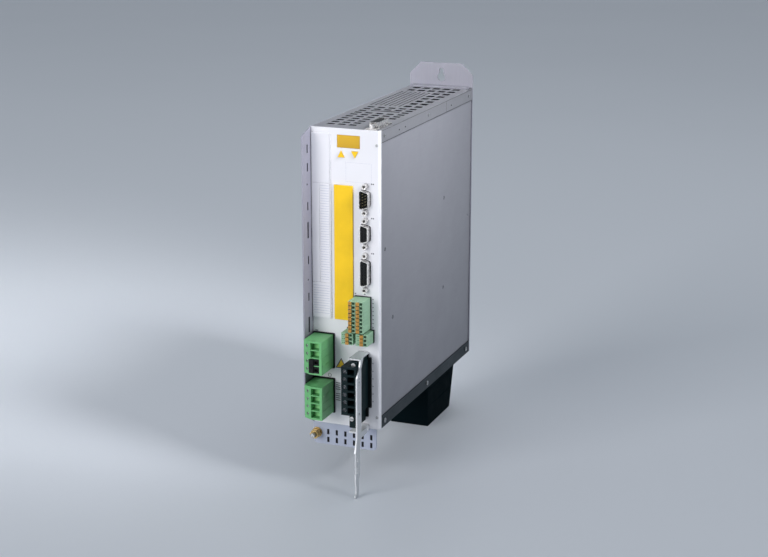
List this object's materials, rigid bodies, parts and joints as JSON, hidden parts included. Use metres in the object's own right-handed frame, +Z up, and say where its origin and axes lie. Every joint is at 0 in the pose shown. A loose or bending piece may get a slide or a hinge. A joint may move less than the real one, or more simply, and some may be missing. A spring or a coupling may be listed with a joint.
{
  "type": "servo drive",
  "caption": "Slim servo drive in a vented sheet-metal case with a back plate for wall mounting, pull-off green and black terminal plugs, D-sub ports, display and shield bracket.",
  "frame": {"origin": "back mounting plane, centred in the width, level with the underside of the case", "axes": "+Y out of the back face towards the mounting plate, +Z up, so the front panel faces -Y"},
  "size_m": [0.0718, 0.3031, 0.3735],
  "materials": {
    "panel_white": "satin powder coat, nearly white",
    "zinc_sheet": "zinc-plated sheet steel, dull",
    "yellow_plastic": "fine-grained yellow moulding",
    "amber_window": "amber filter window",
    "black_plastic": "black glass-filled moulding",
    "header_black": "black glass-filled header body",
    "motor_black": "black moulding with a slight green tint",
    "signal_green": "light green polyamide",
    "power_green": "green polyamide",
    "lever_orange": "orange polyamide",
    "board_green": "solder-masked glass-epoxy board",
    "port_metal": "nickel-plated port shells and posts",
    "contact_metal": "gold-flashed contacts",
    "screw_metal": "bright zinc-plated screws",
    "shield_steel": "bright zinc-plated steel",
    "stud_brass": "brass nuts and washers",
    "foot_black": "black moulded block",
    "sink_aluminium": "mill-finish extrusion",
    "capacitor_sleeve": "shrink sleeve on aluminium cans",
    "choke_copper": "enamelled copper winding"
  },
  "bodies": {
    "case": {"front_panel": "panel_white", "left_side": "zinc_sheet", "right_cover": "zinc_sheet", "top_cover": "zinc_sheet", "bottom_plate": "zinc_sheet", "back_plate": "zinc_sheet", "slot_cover": "panel_white", "option_cover": "yellow_plastic", "display_window": "amber_window", "display_module": "black_plastic", "display_board": "board_green", "tact_switches": "black_plastic", "port_a_shell": "port_metal", "port_a_insert": "black_plastic", "port_b_shell": "port_metal", "port_b_insert": "black_plastic", "port_c_shell": "port_metal", "port_c_insert": "black_plastic", "top_port_shell": "port_metal", "top_port_insert": "black_plastic", "port_pins": "contact_metal", "jack_posts": "port_metal", "signal_header": "header_black", "relay_header": "header_black", "supply_header": "header_black", "link_header": "header_black", "motor_header": "header_black", "header_pins": "contact_metal", "shield_bracket": "shield_steel", "shield_rail": "shield_steel", "ground_stud": "screw_metal", "ground_nuts": "stud_brass", "case_screws": "screw_metal", "support_foot": "foot_black", "heat_sink": "sink_aluminium", "power_module": "black_plastic", "power_board": "board_green", "control_board": "board_green", "bus_capacitors": "capacitor_sleeve", "line_choke": "choke_copper", "fan_frame": "black_plastic"},
    "up_button": {"button_up": "yellow_plastic"},
    "down_button": {"button_down": "yellow_plastic"},
    "fan": {"fan_rotor": "black_plastic"},
    "signal_left_plug_body": {"signal_plug_left": "signal_green"},
    "signal_right_plug_body": {"signal_plug_right": "signal_green"},
    "relay_left_plug_body": {"relay_plug_left": "signal_green"},
    "relay_right_plug_body": {"relay_plug_right": "signal_green"},
    "supply_plug_body": {"supply_plug": "power_green", "supply_clamps": "screw_metal", "supply_bridge": "black_plastic"},
    "link_plug_body": {"link_plug": "power_green", "link_clamps": "screw_metal"},
    "motor_plug_body": {"motor_plug": "motor_black", "motor_clamps": "screw_metal", "motor_flange_screws": "screw_metal"},
    "signal_lever_row_left": {"signal_levers_left": "lever_orange"},
    "signal_lever_row_right": {"signal_levers_right": "lever_orange"},
    "relay_lever_row_left": {"relay_levers_left": "lever_orange"},
    "relay_lever_row_right": {"relay_levers_right": "lever_orange"}
  },
  "joints": [
    {"name": "up_press", "type": "slide", "parent": "case", "child": "up_button", "axis": [0, 1, 0], "range_m": [0, 0.0006], "stiffness_N_per_m": 500},
    {"name": "down_press", "type": "slide", "parent": "case", "child": "down_button", "axis": [0, 1, 0], "range_m": [0, 0.0006], "stiffness_N_per_m": 500},
    {"name": "fan_spin", "type": "hinge", "parent": "case", "child": "fan", "pos_m": [-0.001, -0.087, 0.262], "axis": [0, 0, 1], "continuous": true},
    {"name": "signal_left_unplug", "type": "slide", "parent": "case", "child": "signal_left_plug_body", "axis": [0, -1, 0], "range_m": [0, 0.014]},
    {"name": "signal_right_unplug", "type": "slide", "parent": "case", "child": "signal_right_plug_body", "axis": [0, -1, 0], "range_m": [0, 0.014]},
    {"name": "relay_left_unplug", "type": "slide", "parent": "case", "child": "relay_left_plug_body", "axis": [0, -1, 0], "range_m": [0, 0.014]},
    {"name": "relay_right_unplug", "type": "slide", "parent": "case", "child": "relay_right_plug_body", "axis": [0, -1, 0], "range_m": [0, 0.014]},
    {"name": "supply_unplug", "type": "slide", "parent": "case", "child": "supply_plug_body", "axis": [0, -1, 0], "range_m": [0, 0.014]},
    {"name": "link_unplug", "type": "slide", "parent": "case", "child": "link_plug_body", "axis": [0, -1, 0], "range_m": [0, 0.014]},
    {"name": "motor_unplug", "type": "slide", "parent": "case", "child": "motor_plug_body", "axis": [0, -1, 0], "range_m": [0, 0.014]},
    {"name": "signal_lever_row_left_press", "type": "slide", "parent": "signal_left_plug_body", "child": "signal_lever_row_left", "axis": [0, 1, 0], "range_m": [0, 0.0012], "stiffness_N_per_m": 1500},
    {"name": "signal_lever_row_right_press", "type": "slide", "parent": "signal_right_plug_body", "child": "signal_lever_row_right", "axis": [0, 1, 0], "range_m": [0, 0.0012], "stiffness_N_per_m": 1500},
    {"name": "relay_lever_row_left_press", "type": "slide", "parent": "relay_left_plug_body", "child": "relay_lever_row_left", "axis": [0, 1, 0], "range_m": [0, 0.0012], "stiffness_N_per_m": 1500},
    {"name": "relay_lever_row_right_press", "type": "slide", "parent": "relay_right_plug_body", "child": "relay_lever_row_right", "axis": [0, 1, 0], "range_m": [0, 0.0012], "stiffness_N_per_m": 1500}
  ]
}
